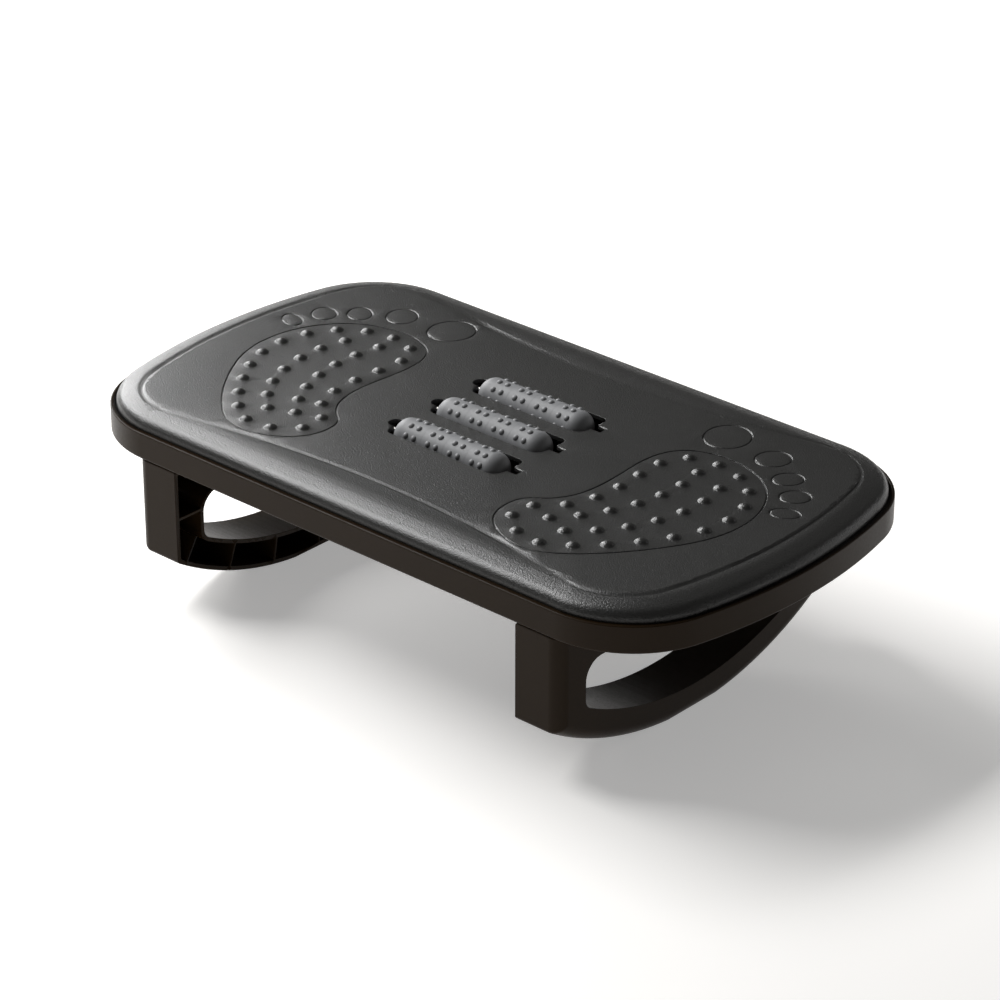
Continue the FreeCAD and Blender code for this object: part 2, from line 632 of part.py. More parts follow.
def leg_outline(inset):
    """The leg's side view, moved in: straight top and ends, a curved underside with a short flat."""
    half = f"({LEG_HALF_DEPTH} - {inset})"
    top = f"({TRAY_BASE} - {inset})"
    radius = f"(Sizes.rocker_radius - {inset})"
    half_flat = f"sqrt({radius} ^ 2 - ({ROCKER_CENTRE} - {inset}) ^ 2)"
    return [
        (f"-{half}", rocker_height(radius, f"-{half}"), radius),
        (f"Sizes.rocker_middle_y - {half_flat}", inset, None),
        (f"Sizes.rocker_middle_y + {half_flat}", inset, radius),
        (half, rocker_height(radius, half), None),
        (half, top, None),
        (f"-{half}", top, None),
    ]


def window_outline(outset):
    """The D-shaped window, its lower edge concentric with the rocker, moved out."""
    front = f"({LEG_HALF_DEPTH} - Sizes.leg_band + {outset})"
    rear = f"({LEG_HALF_DEPTH} - Sizes.leg_rear_band + {outset})"
    top = f"({TRAY_BASE} - Sizes.leg_band + {outset})"
    radius = f"(Sizes.rocker_radius - Sizes.rocker_band + {outset})"
    return [
        (f"-{front}", rocker_height(radius, f"-{front}"), radius),
        (rear, rocker_height(radius, rear), None),
        (rear, top, None),
        (f"-{front}", top, None),
    ]


def radial_rib(angle):
    """One rib of the rocker band, across the band between its two walls."""
    inner = "(Sizes.rocker_radius - Sizes.rocker_band + Sizes.leg_wall / 2)"
    outer = "(Sizes.rocker_radius - Sizes.leg_wall / 2)"
    half = "Sizes.rib_thickness / 2"
    corners = []
    for reach, offset in ((inner, f"-{half}"), (outer, f"-{half}"), (outer, half), (inner, half)):
        y = f"(Sizes.rocker_middle_y + {reach} * sin({angle}) + {offset} * cos({angle}))"
        z = f"({ROCKER_CENTRE} - {reach} * cos({angle}) + {offset} * sin({angle}))"
        corners.append((y, z, None))
    return corners


def upright_at(y, z, tolerance=0.6):
    """Edges across the leg through one corner of its side view."""
    spot = (value_of(y), value_of(z))

    def test(edge):
        box = edge.BoundBox
        across = box.XLength > 1 and box.YLength < 1e-3 and box.ZLength < 1e-3
        return across and abs(box.YMin - spot[0]) < tolerance and abs(box.ZMin - spot[1]) < tolerance
    return test


def round_feet(body, inset, name):
    """Rounds the lower front and rear corners of a side view that is moved in."""
    for end, sign in (("front", "-"), ("rear", "")):
        y = f"{sign}({LEG_HALF_DEPTH} - {inset})"
        foot = upright_at(y, rocker_height(f"(Sizes.rocker_radius - {inset})", y))
        round_edges(body, "Sizes.leg_foot_round", f"{name}_{end}", foot)


def leg_perimeter(inset):
    """Edges in one plane across the leg that run round its ends and its underside."""
    side_x = value_of(f"Sizes.leg_inner_x + Sizes.leg_thickness - {inset}")
    half_depth = value_of(f"{LEG_HALF_DEPTH} - {inset}")
    rocker_middle = Vector(side_x, value_of("Sizes.rocker_middle_y"), value_of(ROCKER_CENTRE))
    near_rocker = value_of(f"Sizes.rocker_radius - {inset} - Sizes.leg_foot_round")
    top = value_of(f"{TRAY_BASE} - {inset}")

    def test(edge):
        box = edge.BoundBox
        middle = edge.valueAt((edge.FirstParameter + edge.LastParameter) / 2)
        in_plane = abs(box.XMin - side_x) < 1e-4 and abs(box.XMax - side_x) < 1e-4
        at_end = abs(abs(middle.y) - half_depth) < 1e-3
        at_underside = middle.distanceToPoint(rocker_middle) > near_rocker
        return in_plane and box.ZMin < top - 1 and (at_end or at_underside)
    return test


def round_window(body, outset, name):
    front, rear, top_rear, top_front = window_outline(outset)
    round_edges(body, f"Sizes.window_front_round + {outset}", f"{name}_upper", upright_at(*top_front[:2]))
    round_edges(body, f"Sizes.window_foot_round + {outset}", f"{name}_foot", upright_at(*front[:2]))
    rear_round = f"Sizes.window_rear_round + {outset} / 2"
    for corner, place in (("rear_low", rear), ("rear_high", top_rear)):
        round_edges(body, rear_round, f"{name}_{corner}", upright_at(*place[:2]))


def make_right_leg():
    body = new_body("right_leg")
    side_view = new_sketch(body, "leg_side", "YZ_Plane", "Sizes.leg_inner_x")
    draw_loop(side_view, leg_outline("0"))
    pad(body, side_view, "Sizes.leg_thickness", "leg_block")
    round_feet(body, "0", "foot")
    window = new_sketch(body, "leg_window", "YZ_Plane", "Sizes.leg_inner_x")
    draw_loop(window, window_outline("0"))
    pocket(body, window, "Sizes.leg_thickness", "window_cut", up=True)
    round_window(body, "0", "window")

    hollow = new_sketch(body, "leg_hollow", "YZ_Plane", "Sizes.leg_inner_x")
    draw_loop(hollow, leg_outline("Sizes.leg_wall"))
    draw_loop(hollow, window_outline("Sizes.leg_wall"))
    pocket(body, hollow, "Sizes.leg_thickness - Sizes.leg_wall", "leg_hollow_cut", up=True)
    round_window(body, "Sizes.leg_wall", "window_wall")
    round_feet(body, "Sizes.leg_wall", "hollow_foot")
    hollow_round = "Sizes.leg_edge_round - Sizes.leg_wall"
    round_edges(body, hollow_round, "hollow_edge", leg_perimeter("Sizes.leg_wall"))

    ribs = new_sketch(body, "leg_ribs", "YZ_Plane", "Sizes.leg_inner_x")
    for step in range(-LEG_RIBS, LEG_RIBS + 1):
        draw_loop(ribs, radial_rib(f"({step} * Sizes.rib_angle)"))
    front_wall = f"({LEG_HALF_DEPTH} - Sizes.leg_wall / 2)"
    window_wall = f"({LEG_HALF_DEPTH} - Sizes.leg_band + Sizes.leg_wall / 2)"
    half_rib = "Sizes.rib_thickness / 2"
    draw_loop(ribs, rectangle(f"-{front_wall}", f"-{window_wall}", f"Sizes.front_rib_height - {half_rib}",
                              f"Sizes.front_rib_height + {half_rib}"))
    pad(body, ribs, "Sizes.leg_thickness - Sizes.leg_wall / 2", "leg_rib_pads")
    # The outer edge comes after the ribs, so that its round trims them too
    round_edges(body, "Sizes.leg_edge_round", "outer_edge", leg_perimeter("0"))
    round_edges(body, "Sizes.leg_top_bevel", "top_bevel", lies_at_height(TRAY_BASE), "Chamfer")

    bosses = new_sketch(body, "leg_bosses", "XY_Plane", f"{TRAY_BASE} - Sizes.leg_wall / 2")
    pilots = new_sketch(body, "leg_pilots", "XY_Plane", TRAY_BASE)
    for x, y in leg_screw_places(1):
        draw_circle(bosses, x, y, "Sizes.boss_diameter / 2")
        draw_circle(pilots, x, y, "Sizes.screw_shank / 2 + Sizes.fit_clearance")
    pad(body, bosses, "Sizes.leg_boss_depth", "leg_boss_pads", down=True)
    tongues = new_sketch(body, "leg_tongues", "XY_Plane", TRAY_BASE)
    for loop in tongue_outlines(1, "0"):
        draw_loop(tongues, loop)
    pad(body, tongues, "Sizes.tongue_height", "leg_tongue_pads")
    pocket(body, pilots, "Sizes.leg_screw_length", "leg_pilot_holes")
    return body


def make_left_leg(right_leg):
    leg = document.addObject("Part::Mirroring", "left_leg")
    leg.Label = "left_leg"
    leg.Source = right_leg
    leg.Base = Vector(0, 0, 0)
    leg.Normal = Vector(1, 0, 0)
    return leg


# Rollers
def place_on_axle(body, roller):
    body.setExpression("Placement.Base.y", roller_y(roller))
    body.setExpression("Placement.Base.z", AXLE_HEIGHT)


def hexagon(x, radius):
    """A stud's six-sided foot, centred on the drum's upper line."""
    angles = [360 / BEAD_SIDES * corner for corner in range(BEAD_SIDES)]
    return [(f"({x} + {radius} * cos({angle}))", f"({radius} * sin({angle}))", None) for angle in angles]


def make_drum():
    body = new_body("front_roller_drum")
    section = new_sketch(body, "drum_section", "XY_Plane")
    half = "Sizes.drum_length / 2"
    draw_loop(section, rectangle(f"-{half}", half, DRUM_BORE, "Sizes.drum_radius"))
    turn = body.newObject("PartDesign::Revolution", "drum_tube")
    turn.Profile = section
    turn.ReferenceAxis = (origin_plane(body, "X_Axis"), [""])
    turn.Angle = 360
    document.recompute()

    # One row of stud pairs stands on the drum's upper line and repeats round the drum
    root = "(Sizes.drum_radius - Sizes.drum_wall / 2)"
    root_radius = "(Sizes.bead_diameter / 2 + Sizes.drum_wall / 2 * tan(Sizes.bead_taper))"
    field = f"(Sizes.bead_pair_gap + {BEAD_PAIRS - 1} * Sizes.bead_pitch)"
    beads = new_sketch(body, "bead_row", "XY_Plane", root)
    for pair in range(BEAD_PAIRS):
        for member in (0, 1):
            along = f"{pair} * Sizes.bead_pitch + {member} * Sizes.bead_pair_gap"
            draw_loop(beads, hexagon(f"({along} + Sizes.bead_field_x - {field} / 2)", root_radius))
    studs = pad(body, beads, "Sizes.bead_height + Sizes.drum_wall / 2", "bead_pads")
    studs.setExpression("TaperAngle", "-Sizes.bead_taper")
    rows = body.newObject("PartDesign::PolarPattern", "bead_rows")
    rows.Originals = [studs]
    rows.Axis = (origin_plane(body, "X_Axis"), [""])
    rows.Angle = 360
    rows.Occurrences = BEAD_ROWS
    body.Tip = rows
    body.setExpression("Placement.Base.x", ROLLER_MIDDLE_X)
    place_on_axle(body, FRONT)
    return body


def make_cap(side):
    body = new_body(f"front_roller_{'right' if side > 0 else 'left'}_cap")
    section = new_sketch(body, f"{body.Label}_section", "XY_Plane")
    bore = "(Sizes.axle_diameter / 2 + Sizes.running_clearance)"
    spigot = f"({DRUM_BORE} - Sizes.fit_clearance)"
    chord = "((Sizes.drum_radius - Sizes.cap_tip_radius) ^ 2 + Sizes.cap_length ^ 2)"
    bullet = f"({chord} / (2 * (Sizes.drum_radius - Sizes.cap_tip_radius)))"
    draw_loop(section, [
        ("-Sizes.cap_spigot", bore, None),
        ("Sizes.cap_length", bore, None),
        ("Sizes.cap_length", "Sizes.cap_tip_radius", bullet),
        ("0", "Sizes.drum_radius", None),
        ("0", spigot, None),
        ("-Sizes.cap_spigot", spigot, None),
    ])
    turn = body.newObject("PartDesign::Revolution", f"{body.Label}_turning")
    turn.Profile = section
    turn.ReferenceAxis = (origin_plane(body, "X_Axis"), [""])
    turn.Angle = 360
    body.Placement = Placement(Vector(0, 0, 0), Rotation(Vector(0, 0, 1), 0 if side > 0 else 180))
    body.setExpression("Placement.Base.x", f"{ROLLER_MIDDLE_X} + {side} * Sizes.drum_length / 2")
    place_on_axle(body, FRONT)
    return body


def repeat_on_axle(piece, name, roller):
    """The same moulding on another axle."""
    body = new_body(piece.Label.replace("front", name))
    base = document.addObject("PartDesign::FeatureBase", f"{body.Label}_base")
    base.BaseFeature = piece
    body.Group = [base]
    body.Tip = base
    body.Placement = piece.Placement
    body.setExpression("Placement.Base.x", f"{piece.Name}.Placement.Base.x")
    place_on_axle(body, roller)
    return body


def make_axle(name, roller):
    axle = document.addObject("Part::Cylinder", f"{name}_axle")
    axle.Label = f"{name}_axle"
    axle.setExpression("Radius", "Sizes.axle_diameter / 2")
    axle.setExpression("Height", f"2 * {AXLE_HALF_LENGTH}")
    axle.Placement = Placement(Vector(0, 0, 0), Rotation(Vector(0, 1, 0), 90))
    axle.setExpression("Placement.Base.x", f"Sizes.slot_middle_x - {AXLE_HALF_LENGTH}")
    place_on_axle(axle, roller)
    return axle


# Screws
def make_screws(label, places, head_level, length, up):
    """A set of pan head screws; up is True where they are driven upwards."""
    solids = []
    for index, (x, y) in enumerate(places):
        parts = []
        for kind, radius, height in (("head", "Sizes.screw_head / 2", "Sizes.screw_head_height"),
                                     ("shank", "Sizes.screw_shank / 2", length)):
            piece = document.addObject("Part::Cylinder", f"{label}_{kind}_{index}")
            piece.setExpression("Radius", radius)
            piece.setExpression("Height", height)
            downwards = (kind == "head") == up
            foot = f"{head_level} - {height}" if downwards else head_level
            piece.setExpression("Placement.Base.x", x)
            piece.setExpression("Placement.Base.y", y)
            piece.setExpression("Placement.Base.z", foot)
            parts.append(piece)
        screw = document.addObject("Part::Fuse", f"{label}_{index}")
        screw.Base, screw.Tool = parts
        solids.append(screw)
    group = document.addObject("Part::Compound", label)
    group.Label = label
    group.Links = solids
    return group


def build():
    right_leg = make_right_leg()
    pieces = [make_top_plate(), make_base_tray(), make_left_leg(right_leg), right_leg]
    front_roller = [make_drum(), make_cap(-1), make_cap(1)]
    document.recompute()
    pieces += front_roller
    for name, roller in (("middle", MIDDLE), ("rear", REAR)):
        pieces += [repeat_on_axle(piece, name, roller) for piece in front_roller]
    pieces += [make_axle("front", FRONT), make_axle("middle", MIDDLE), make_axle("rear", REAR)]
    recess_top = f"{TRAY_BASE} + Sizes.recess_depth"
    deck_screws = deck_screw_places()
    pieces.append(make_screws("deck_screws", deck_screws, recess_top, "Sizes.deck_screw_length", True))
    for name, side in (("left", -1), ("right", 1)):
        pieces.append(make_screws(f"{name}_leg_screws", leg_screw_places(side), TRAY_FLOOR_TOP,
                                  "Sizes.leg_screw_length", False))
    document.recompute()
    return pieces


def write_parts(pieces):
    for item in document.Objects:
        if {"Invalid", "Error"} & set(item.State):
            raise RuntimeError(f"{item.Label} failed: {item.State}")
    os.makedirs("parts", exist_ok=True)
    for piece in pieces:
        shape = piece.Shape
        if shape.isNull() or not shape.isValid():
            raise RuntimeError(f"{piece.Label} has no valid shape")
        shape.exportStep(f"parts/{piece.Label}.step")
        print(f"{piece.Label}: {len(shape.Solids)} solid(s), {shape.Volume / 1000:.1f} cm3")


write_parts(build())
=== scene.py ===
"""Looks of the tilting under desk footrest: finishes, mouldings, studded rollers, screws, studio."""
from math import cos, pi, radians, sin, sqrt

import bpy
from mathutils import Matrix, Vector


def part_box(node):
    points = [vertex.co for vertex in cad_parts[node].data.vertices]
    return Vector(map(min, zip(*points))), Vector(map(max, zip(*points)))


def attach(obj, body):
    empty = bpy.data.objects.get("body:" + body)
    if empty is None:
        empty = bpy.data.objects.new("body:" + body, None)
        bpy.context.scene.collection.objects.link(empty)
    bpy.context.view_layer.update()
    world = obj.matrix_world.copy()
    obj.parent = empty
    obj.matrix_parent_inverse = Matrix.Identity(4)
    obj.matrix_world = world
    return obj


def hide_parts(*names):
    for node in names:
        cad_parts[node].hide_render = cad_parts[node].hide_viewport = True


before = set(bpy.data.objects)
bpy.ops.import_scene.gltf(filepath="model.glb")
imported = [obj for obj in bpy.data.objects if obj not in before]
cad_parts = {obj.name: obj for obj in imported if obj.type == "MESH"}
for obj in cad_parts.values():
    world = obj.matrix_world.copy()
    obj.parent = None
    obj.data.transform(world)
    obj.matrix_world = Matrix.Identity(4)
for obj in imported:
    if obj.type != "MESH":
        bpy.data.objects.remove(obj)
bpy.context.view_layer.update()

MM = 0.001

# Roller mouldings
DRUM_RADIUS = 10.5 * MM
DRUM_BORE = 8.5 * MM
DRUM_HALF_LENGTH = 31.5 * MM
CAP_LENGTH = 8 * MM
CAP_SPIGOT = 6 * MM
CAP_TIP_RADIUS = 3.4 * MM
CAP_BORE = 1.56 * MM
CAP_FIT = 0.05 * MM
CAP_STEPS = 12
BEAD_DIAMETER = 3.6 * MM
BEAD_HEIGHT = 1.2 * MM
BEAD_ROOT = 0.3 * MM
BEAD_PAIR_GAP = 6.0 * MM
BEAD_PITCH = 16.6 * MM
BEAD_FIELD_X = 1.2 * MM
BEAD_PAIRS = 4
BEAD_ROWS = 10
RING_LINE_WIDTH = 0.5 * MM
RING_LINE_DEPTH = 0.12 * MM
TURNED_SEGMENTS = 72
# Each roller stopped at another turn: degrees from the CAD's, towards the front
ROLLER_TURNS = {"front": -12, "middle": 12, "rear": 5}

# Self-tapping pan head screws
HEAD_RADIUS = 3.5 * MM
HEAD_HEIGHT = 2.4 * MM
HEAD_RIM = 0.8 * MM
HEAD_CROWN = 1.5 * MM
HEAD_STEPS = 5
THREAD_CREST = 1.6 * MM
THREAD_ROOT = 1.15 * MM
THREAD_PITCH = 1.3 * MM
POINT_LENGTH = 2.6 * MM
POINT_RADIUS = 0.4 * MM
CROSS_SPAN = 3.8 * MM
CROSS_SLOT = 0.85 * MM
CROSS_DEPTH = 1.3 * MM
DECK_SCREW_LENGTH = 13 * MM
LEG_SCREW_LENGTH = 12 * MM
DECK_SCREW_PLACES = [(side * x * MM, end * y * MM) for x, y in ((194, 60), (80, 106))
                     for side in (-1, 1) for end in (-1, 1)]
LEG_SCREW_STEP = 98 * MM

# Points of a mesh that are nearer than this are one point
NODE_MERGE = 0.002 * MM
TURNED_MERGE = 0.001 * MM

# Edges sharper than these, in degrees, stay crisp
SHELL_CREASE = 32
ROLLER_CREASE = 40
SCREW_CREASE = 30

# Patterns of the finishes
FLOW_PATCH = 70 * MM
STEEL_LINE = 0.25 * MM
STEEL_LINE_STRETCH = 0.02

# Studio
LIGHTS_AIM = (0, 0, 0.1)
FLOOR_SIZE = 14
CAMERA_PLACE = (1.3235, -1.4578, 1.0845)
CAMERA_AIM = (0.0505, -0.0504, 0.107)
CAMERA_LENS = 140.73
CAMERA_SENSOR = 36


# Colours and nodes
def linear(hex_colour):
    """A linear RGBA colour from an sRGB hex value."""
    channels = [int(hex_colour[i:i + 2], 16) / 255 for i in (1, 3, 5)]
    return [c / 12.92 if c <= 0.04045 else ((c + 0.055) / 1.055) ** 2.4 for c in channels] + [1.0]


def add_node(tree, kind, links=None, sockets=None, **settings):
    """Adds a node, sets its settings and socket values, and links its inputs."""
    node = tree.nodes.new(kind)
    for name, value in settings.items():
        setattr(node, name, value)
    for name, value in (sockets or {}).items():
        node.inputs[name].default_value = value
    for name, output in (links or {}).items():
        tree.links.new(output, node.inputs[name])
    return node


def new_material(name, **shader_values):
    """A material, its node tree and its shader with these socket values."""
    material = bpy.data.materials.new(name)
    material.use_nodes = True
    shader = material.node_tree.nodes["Principled BSDF"]
    for socket, value in shader_values.items():
        shader.inputs[socket.replace("_", " ")].default_value = value
    return material, material.node_tree, shader


def moulded_plastic(name, dark, light, roughness, grain_mm, grain_depth_mm, edge_mm, **shader_values):
    """Plastic from a spark-eroded mould: fine grain, slightly uneven gloss and tone.

    The grain's real size is near 0.1 mm. It is drawn as grain_mm, coarse enough to show."""
    material, tree, shader = new_material(name, **shader_values)
    place = add_node(tree, "ShaderNodeTexCoord").outputs["Object"]
    grain = add_node(tree, "ShaderNodeTexNoise", {"Vector": place},
                     {"Scale": 1 / (grain_mm * MM), "Detail": 2.5, "Roughness": 0.6})
    flow = add_node(tree, "ShaderNodeTexNoise", {"Vector": place},
                    {"Scale": 1 / FLOW_PATCH, "Detail": 3.0})
    tone = add_node(tree, "ShaderNodeMix", {"Factor": flow.outputs["Fac"]},
                    {"A": dark, "B": light}, data_type="RGBA")
    tree.links.new(tone.outputs["Result"], shader.inputs["Base Color"])
    gloss = add_node(tree, "ShaderNodeMapRange", {"Value": grain.outputs["Fac"]},
                     {"From Min": 0.3, "From Max": 0.7,
                      "To Min": roughness[0], "To Max": roughness[1]})
    tree.links.new(gloss.outputs["Result"], shader.inputs["Roughness"])
    edge = add_node(tree, "ShaderNodeBevel", sockets={"Radius": edge_mm * MM}, samples=4)
    bump = add_node(tree, "ShaderNodeBump",
                    {"Height": grain.outputs["Fac"], "Normal": edge.outputs["Normal"]},
                    {"Strength": 1.0, "Distance": grain_depth_mm * MM})
    tree.links.new(bump.outputs["Normal"], shader.inputs["Normal"])
    return material


# Charcoal ABS, fine spark-eroded skin: a grainy satin sheen along the rolled border
deck_plastic = moulded_plastic("charcoal_abs_spark_grain", linear("#222221"), linear("#262625"),
                               (0.26, 0.42), 0.9, 0.26, 0.45, IOR=1.54)
# Black polypropylene, smoother skin with a faint warm cast
frame_plastic = moulded_plastic("black_polypropylene_satin", linear("#1f1509"), linear("#24190c"),
                                (0.32, 0.42), 1.2, 0.02, 0.5, IOR=1.49, Specular_IOR_Level=0.10)
# Mid-grey ABS, dull: the tumbled rollers scatter light evenly
roller_plastic = moulded_plastic("grey_abs_matt", linear("#717274"), linear("#797a7c"),
                                 (0.50, 0.62), 0.8, 0.02, 0.2, IOR=1.54)


def drawn_steel():
    """Cold-drawn steel: a grey satin, with fine lines along the rod."""
    material, tree, shader = new_material("drawn_steel_satin", Metallic=1.0,
                                          Base_Color=linear("#8f8d8a"))
    place = add_node(tree, "ShaderNodeTexCoord").outputs["Object"]
    stretched = add_node(tree, "ShaderNodeMapping", {"Vector": place},
                         {"Scale": (STEEL_LINE_STRETCH, 1, 1)})
    lines = add_node(tree, "ShaderNodeTexNoise", {"Vector": stretched.outputs["Vector"]},
                     {"Scale": 1 / STEEL_LINE, "Detail": 2.0})
    gloss = add_node(tree, "ShaderNodeMapRange", {"Value": lines.outputs["Fac"]},
                     {"To Min": 0.32, "To Max": 0.5})
    tree.links.new(gloss.outputs["Result"], shader.inputs["Roughness"])
    return material


steel = drawn_steel()


# Modelling helpers
def only(piece):
    """Makes one piece the active and only selected object."""
    bpy.ops.object.select_all(action="DESELECT")
    bpy.context.view_layer.objects.active = piece
    piece.select_set(True)


def edit(piece, *steps):
    """Runs edit-mode operators on everything in a piece."""
    only(piece)
    bpy.ops.object.mode_set(mode="EDIT")
    bpy.ops.mesh.select_all(action="SELECT")
    for step in steps:
        step()
    bpy.ops.object.mode_set(mode="OBJECT")


def add_modifier(piece, kind, **settings):
    """Adds a modifier to a piece and applies it."""
    modifier = piece.modifiers.new(kind.title(), kind)
    for name, value in settings.items():
        setattr(modifier, name, value)
    only(piece)
    bpy.ops.object.modifier_apply(modifier=modifier.name)


def soften(piece, crease):
    """Soft shading over curves, crisp edges, and flat faces that stay flat."""
    only(piece)
    bpy.ops.object.shade_smooth_by_angle(angle=radians(crease))
    add_modifier(piece, "WEIGHTED_NORMAL", mode="FACE_AREA_WITH_ANGLE", keep_sharp=True)


def dress(piece, material, slot, body, *nodes):
    """Gives a piece its finish and the body that it rides on, and hides the CAD nodes that it stands
    for.
    """
    piece.data.materials.clear()
    piece.data.materials.append(material)
    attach(piece, body)
    if nodes:
        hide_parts(*nodes)
    return piece


def smooth_moulding(node, name, material, slot, body):
    """A merged copy of a moulded node, softly shaded."""
    piece = bpy.data.objects.new(name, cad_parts[node].data.copy())
    bpy.context.scene.collection.objects.link(piece)
    edit(piece, lambda: bpy.ops.mesh.remove_doubles(threshold=NODE_MERGE))
    soften(piece, SHELL_CREASE)
    return dress(piece, material, slot, body, node)


def placed_copy(piece, matrix):
    """A copy with its own mesh, its place in the mesh."""
    copy = bpy.data.objects.new(piece.name, piece.data.copy())
    copy.data.transform(matrix)
    bpy.context.scene.collection.objects.link(copy)
    return copy


def join(pieces, name):
    """One piece out of several."""
    only(pieces[0])
    for piece in pieces[1:]:
        piece.select_set(True)
    bpy.ops.object.join()
    pieces[0].name = name
    return pieces[0]


def grow(profile):
    """Extrudes the selected ring about the X axis through (x, radius) points."""
    for (x, radius), (next_x, next_radius) in zip(profile, profile[1:]):
        bpy.ops.mesh.extrude_region_move(TRANSFORM_OT_translate={"value": (next_x - x, 0, 0)})
        scale = next_radius / radius
        bpy.ops.transform.resize(value=(1, scale, scale), center_override=(0, 0, 0))


def first_ring(name, profile, segments, fill_type):
    """A circle about the X axis at a profile's first point."""
    bpy.ops.object.select_all(action="DESELECT")
    start, radius = profile[0]
    bpy.ops.mesh.primitive_circle_add(vertices=segments, radius=radius, fill_type=fill_type,
                                      location=(start, 0, 0), rotation=(0, pi / 2, 0))
    piece = bpy.context.object
    piece.name = name
    bpy.ops.object.transform_apply(location=True, rotation=True, scale=True)
    return piece


def turned(name, profile):
    """A turned moulding about the X axis, its outline a closed run of (x, radius) points."""
    piece = first_ring(name, profile, TURNED_SEGMENTS, "NOTHING")
    edit(piece, lambda: grow(profile + profile[:1]),
         lambda: bpy.ops.mesh.select_all(action="SELECT"),
         lambda: bpy.ops.mesh.remove_doubles(threshold=TURNED_MERGE),
         lambda: bpy.ops.mesh.normals_make_consistent(inside=False))
    return piece


def grown_disc(name, profile, segments, crown):
    """A solid about the X axis: a disc grown through (x, radius) points, its last face crowned."""
    piece = first_ring(name, profile, segments, "NGON")
    edit(piece, lambda: grow(profile), lambda: bpy.ops.mesh.poke(offset=crown),
         lambda: bpy.ops.mesh.select_all(action="SELECT"),
         lambda: bpy.ops.mesh.normals_make_consistent(inside=False))
    return piece


def bead(segments=14, rings=4):
    """One domed stud along +X, with a short root below the drum's surface and a few dozen faces."""
    radius = (BEAD_DIAMETER ** 2 / 4 + BEAD_HEIGHT ** 2) / (2 * BEAD_HEIGHT)
    profile = [(-BEAD_ROOT, BEAD_DIAMETER / 2)]
    for ring in range(rings):
        top = BEAD_HEIGHT * sin(ring / rings * pi / 2)
        profile.append((top, sqrt(radius ** 2 - (radius - BEAD_HEIGHT + top) ** 2)))
    return grown_disc("roller_stud", profile, segments, BEAD_HEIGHT - profile[-1][0])


def pan_head_screw(length, segments=32):
    """A screw whose head sits below X = 0 and whose ringed thread runs along +X to a blunt point."""
    threaded = length - POINT_LENGTH
    profile = [(length, POINT_RADIUS), (threaded, THREAD_ROOT)]
    for ring in range(int(threaded / THREAD_PITCH)):
        crest = threaded - (ring + 0.5) * THREAD_PITCH
        profile += [(crest, THREAD_CREST), (crest - THREAD_PITCH / 2, THREAD_ROOT)]
    profile += [(0, THREAD_ROOT), (0, HEAD_RADIUS), (-HEAD_RIM, HEAD_RADIUS)]
    for step in range(1, HEAD_STEPS + 1):
        turn = step / HEAD_STEPS * pi / 2
        profile.append((-HEAD_RIM - (HEAD_HEIGHT - HEAD_RIM) * sin(turn),
                        HEAD_RADIUS - HEAD_CROWN * (1 - cos(turn))))
    screw = grown_disc("screw", profile, segments, 0)
    for width, depth in ((CROSS_SPAN, CROSS_SLOT), (CROSS_SLOT, CROSS_SPAN)):
        bpy.ops.object.select_all(action="DESELECT")
        bpy.ops.mesh.primitive_cube_add(size=1, location=(-HEAD_HEIGHT, 0, 0),
                                        scale=(2 * CROSS_DEPTH, width, depth))
        bit = bpy.context.object
        bpy.ops.object.transform_apply(location=True, rotation=True, scale=True)
        add_modifier(screw, "BOOLEAN", object=bit, operation="DIFFERENCE", solver="EXACT")
        bpy.data.objects.remove(bit)
    return screw


def screw_set(name, node, length, places, upwards):
    """A group of equal screws that stand for a CAD node's, driven upwards or downwards."""
    low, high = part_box(node)
    seat = low[2] + HEAD_HEIGHT if upwards else high[2] - HEAD_HEIGHT
    stand = Matrix.Rotation(-pi / 2 if upwards else pi / 2, 4, "Y")
    screw = pan_head_screw(length)
    copies = [placed_copy(screw, Matrix.Translation((x, y, seat)) @ stand) for x, y in places]
    bpy.data.objects.remove(screw)
    group = join(copies, name)
    soften(group, SCREW_CREASE)
    return dress(group, steel, "bright_steel", "deck", node)


# Deck shells and legs
smooth_moulding("top_plate", "studded_deck", deck_plastic, "deck_plastic", "deck")
smooth_moulding("base_tray", "deck_tray", frame_plastic, "frame_plastic", "deck")
for side in ("left", "right"):
    smooth_moulding(f"{side}_leg", f"{side}_rocker_leg", frame_plastic, "frame_plastic", "deck")


# Rollers
def pair_places():
    """The studs' places along a drum."""
    field = BEAD_PAIR_GAP + (BEAD_PAIRS - 1) * BEAD_PITCH
    first = BEAD_FIELD_X - field / 2
    return [first + pair * BEAD_PITCH + member * BEAD_PAIR_GAP
            for pair in range(BEAD_PAIRS) for member in (0, 1)]


def studded_drum():
    """A tube with faint ring lines between the stud pairs and rows of domed studs."""
    outline = [(-DRUM_HALF_LENGTH, DRUM_BORE), (-DRUM_HALF_LENGTH, DRUM_RADIUS)]
    places = pair_places()
    for before, after in zip(places[1::2], places[2::2]):
        middle = (before + after) / 2
        outline += [(middle - RING_LINE_WIDTH / 2, DRUM_RADIUS),
                    (middle, DRUM_RADIUS - RING_LINE_DEPTH),
                    (middle + RING_LINE_WIDTH / 2, DRUM_RADIUS)]
    outline += [(DRUM_HALF_LENGTH, DRUM_RADIUS), (DRUM_HALF_LENGTH, DRUM_BORE)]
    tube = turned("drum", outline)
    stud = bead()
    outwards = Matrix.Translation((0, 0, DRUM_RADIUS)) @ Matrix.Rotation(-pi / 2, 4, "Y")
    studs = []
    for row in range(BEAD_ROWS):
        turn = Matrix.Rotation(2 * pi * row / BEAD_ROWS, 4, "X")
        studs += [placed_copy(stud, turn @ Matrix.Translation((x, 0, 0)) @ outwards) for x in places]
    bpy.data.objects.remove(stud)
    return join([tube] + studs, "drum")


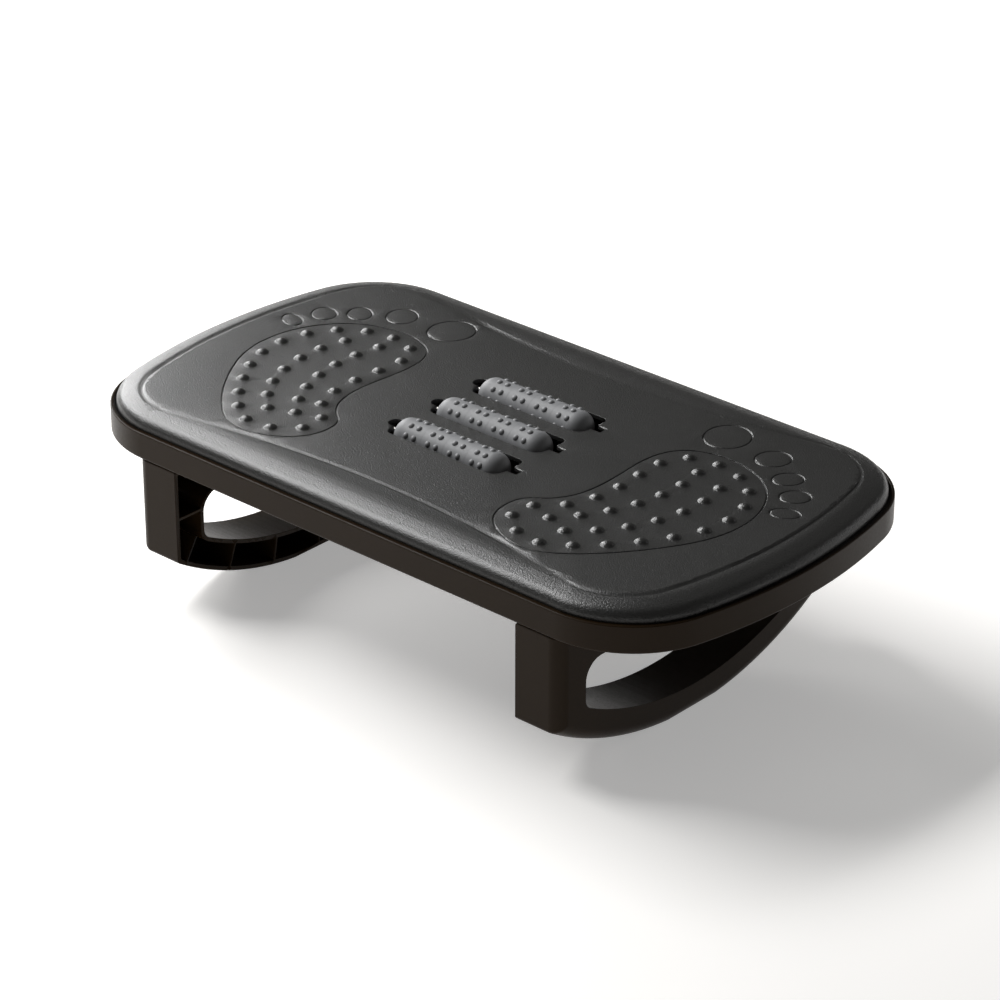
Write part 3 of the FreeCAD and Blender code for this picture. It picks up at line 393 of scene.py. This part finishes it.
def domed_cap():
    """The right end cap: a spigot, then a bullet-shaped end, its tip flat round the axle's hole."""
    drop = DRUM_RADIUS - CAP_TIP_RADIUS
    bullet = (drop ** 2 + CAP_LENGTH ** 2) / (2 * drop)
    reaches = [CAP_LENGTH * sin(step / CAP_STEPS * pi / 2) for step in range(CAP_STEPS + 1)]
    dome = [(x, sqrt(bullet ** 2 - x ** 2) - bullet + DRUM_RADIUS) for x in reaches]
    plug = DRUM_BORE - CAP_FIT
    return turned("cap", [(-CAP_SPIGOT, CAP_BORE), (-CAP_SPIGOT, plug), (0, plug)] + dome
                  + [(CAP_LENGTH, CAP_BORE)])


drum, cap = studded_drum(), domed_cap()
for roller, turn in ROLLER_TURNS.items():
    low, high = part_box(f"{roller}_roller_drum")
    middle = (Vector(low) + Vector(high)) / 2
    spin = Matrix.Translation(middle) @ Matrix.Rotation(radians(turn), 4, "X")
    body = f"{roller}_roller"
    pieces = [("drum", placed_copy(drum, spin))]
    for end, facing in (("left", pi), ("right", 0)):
        reach = DRUM_HALF_LENGTH * (1 if end == "right" else -1)
        pieces.append((f"{end}_cap", placed_copy(cap, spin @ Matrix.Translation((reach, 0, 0))
                                                 @ Matrix.Rotation(facing, 4, "Z"))))
    for part, piece in pieces:
        piece.name = f"{roller}_{part}"
        soften(piece, ROLLER_CREASE)
        dress(piece, roller_plastic, "roller_plastic", body, f"{roller}_roller_{part}")
for piece in (drum, cap):
    bpy.data.objects.remove(piece)

for roller in ROLLER_TURNS:
    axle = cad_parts[f"{roller}_axle"].data
    axle.materials.clear()
    axle.materials.append(steel)


# Screws
screw_set("deck_pan_screws", "deck_screws", DECK_SCREW_LENGTH, DECK_SCREW_PLACES, upwards=True)
for side in ("left", "right"):
    low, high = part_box(f"{side}_leg_screws")
    middle_x = (low[0] + high[0]) / 2
    screw_set(f"{side}_leg_pan_screws", f"{side}_leg_screws", LEG_SCREW_LENGTH,
              [(middle_x, step * LEG_SCREW_STEP) for step in (-1, 0, 1)], upwards=False)


# Studio
def softbox(name, place, size, power):
    """A rectangular white soft light that points at the footrest."""
    light = bpy.data.lights.new(name, "AREA")
    light.shape = "RECTANGLE"
    light.size, light.size_y = size
    light.energy = power
    lamp = bpy.data.objects.new(name, light)
    lamp.location = place
    lamp.rotation_euler = (Vector(LIGHTS_AIM) - Vector(place)).to_track_quat("-Z", "Y").to_euler()
    bpy.context.scene.collection.objects.link(lamp)


softbox("high_window", (-1.2, -0.15, 1.35), (1.5, 0.5), power=40)
softbox("low_window", (-1.7, 0.55, 0.6), (0.9, 0.5), power=18)
softbox("rear_fill", (0.9, 2.2, 0.5), (1.2, 0.6), power=4)

world = bpy.data.worlds.new("studio_dusk")
bpy.context.scene.world = world
world.use_nodes = True
background = world.node_tree.nodes["Background"].inputs
background["Color"].default_value = linear("#f3f1ee")
background["Strength"].default_value = 0.12


def pale_floor():
    """A matt pale sheet under the footrest, far wider than the view and softly lit from below."""
    bpy.ops.object.select_all(action="DESELECT")
    bpy.ops.mesh.primitive_plane_add(size=FLOOR_SIZE, location=(0, 0, 0))
    floor = bpy.context.object
    floor.name = "pale_floor"
    paper, *_ = new_material("pale_matt_paper", Base_Color=linear("#f4f2ef"), Roughness=0.9,
                             Emission_Color=linear("#ffffff"), Emission_Strength=0.33)
    floor.data.materials.append(paper)


pale_floor()


def photograph_camera():
    """A long lens above the front right corner."""
    camera_data = bpy.data.cameras.new("photograph_view")
    camera_data.sensor_width = CAMERA_SENSOR
    camera_data.lens = CAMERA_LENS
    camera = bpy.data.objects.new("photograph_view", camera_data)
    camera.location = CAMERA_PLACE
    line_of_sight = Vector(CAMERA_AIM) - Vector(CAMERA_PLACE)
    camera.rotation_euler = line_of_sight.to_track_quat("-Z", "Y").to_euler()
    bpy.context.scene.collection.objects.link(camera)
    bpy.context.scene.camera = camera


photograph_camera()
# A plain tone curve: a white floor and deep blacks
bpy.context.scene.view_settings.view_transform = "Standard"
